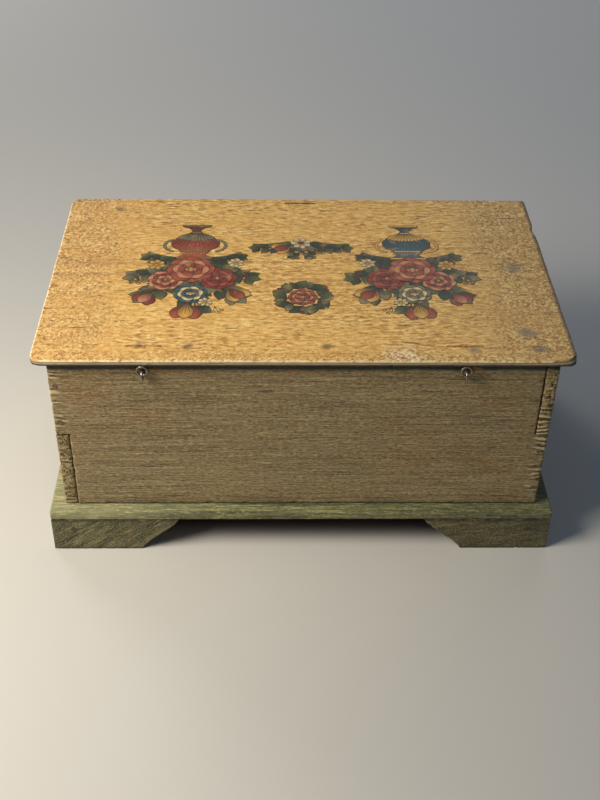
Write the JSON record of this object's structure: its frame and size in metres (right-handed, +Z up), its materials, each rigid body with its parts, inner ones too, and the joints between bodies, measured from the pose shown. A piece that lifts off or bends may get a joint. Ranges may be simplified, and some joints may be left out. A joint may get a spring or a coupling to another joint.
{
  "type": "jack in the box",
  "caption": "Painted wooden casket on bracket feet with a thin wire-hinged lid, hiding a coil-sprung jester that rises as the lid opens.",
  "frame": {"origin": "middle of the footprint, on the surface that the feet stand on", "axes": "+Z up; -Y towards the hinged back of the box; +X to the right as the hinged back is seen"},
  "size_m": [0.301, 0.1866, 0.1401],
  "materials": {
    "wall_paint": "worn grey-brown paint over softwood",
    "base_paint": "worn blue-green paint over softwood",
    "bare_wood": "bare softwood, darkened with age",
    "lid_varnish": "ochre paint under aged varnish",
    "varnished_paper": "printed-and-tinted paper cutouts under varnish",
    "iron_nails": "rusted iron",
    "steel_wire": "dull, partly rusted steel wire",
    "gown_cloth": "faded brick-red cotton",
    "head_paint": "painted turned wood, slightly crazed",
    "ruff_linen": "yellowed linen",
    "cap_felt": "green felt",
    "brass_bells": "tarnished brass"
  },
  "bodies": {
    "casket": {"base_board": "base_paint", "back_board": "wall_paint", "front_board": "wall_paint", "left_end_board": "wall_paint", "right_end_board": "wall_paint", "foot_back_left_long": "base_paint", "foot_back_left_short": "base_paint", "foot_back_right_long": "base_paint", "foot_back_right_short": "base_paint", "foot_front_left_long": "base_paint", "foot_front_left_short": "base_paint", "foot_front_right_long": "base_paint", "foot_front_right_short": "base_paint", "glue_blocks": "bare_wood", "carcase_nails": "iron_nails", "base_nails": "iron_nails", "foot_nails": "iron_nails", "hinge_wall_eye_left": "steel_wire", "hinge_wall_eye_right": "steel_wire", "latch_staple": "steel_wire", "spring_board": "bare_wood", "spring_board_nails": "iron_nails", "spring_foot_staples": "steel_wire", "gown_tacks": "iron_nails", "jack_spring": "steel_wire", "gown_skirt": "gown_cloth"},
    "lid": {"lid_board": "lid_varnish", "hinge_lid_eye_left": "steel_wire", "hinge_lid_eye_right": "steel_wire", "latch_lid_eye": "steel_wire", "paper_cutouts": "varnished_paper"},
    "latch_hook": {"latch_hook": "steel_wire"},
    "jack": {"spring_disc": "bare_wood", "spring_top_staples": "steel_wire", "bust": "bare_wood", "shoulder_wire": "steel_wire", "gown_bodice": "gown_cloth", "head": "head_paint", "nose": "head_paint", "ruff": "ruff_linen", "cap": "cap_felt", "cap_bells": "brass_bells"},
    "left_arm": {"arm_left": "head_paint", "sleeve_left": "gown_cloth"},
    "right_arm": {"arm_right": "head_paint", "sleeve_right": "gown_cloth"}
  },
  "joints": [
    {"name": "lid_hinge", "type": "hinge", "parent": "casket", "child": "lid", "pos_m": [0, -0.0892, 0.1294], "axis": [1, 0, 0], "range_deg": [0, 180]},
    {"name": "jack_rise", "type": "slide", "parent": "casket", "child": "jack", "axis": [0, 0, 1], "range_m": [0, 0.12], "deforming": ["jack_spring", "gown_skirt"]},
    {"name": "left_arm_swing", "type": "hinge", "parent": "jack", "child": "left_arm", "pos_m": [-0.027, 0, 0.08018], "axis": [1, 0, 0], "range_deg": [-62, 0]},
    {"name": "right_arm_swing", "type": "hinge", "parent": "jack", "child": "right_arm", "pos_m": [0.027, 0, 0.08018], "axis": [1, 0, 0], "range_deg": [-62, 0]},
    {"name": "latch_swing", "type": "hinge", "parent": "casket", "child": "latch_hook", "pos_m": [0, 0.0891, 0.1197], "axis": [1, 0, 0], "range_deg": [0, 180]}
  ],
  "couplings": [
    {"joint": "jack_rise", "follows": "lid_hinge", "m_per_rad": 0.037},
    {"joint": "left_arm_swing", "follows": "lid_hinge", "ratio": -0.3333},
    {"joint": "right_arm_swing", "follows": "lid_hinge", "ratio": -0.3333}
  ]
}
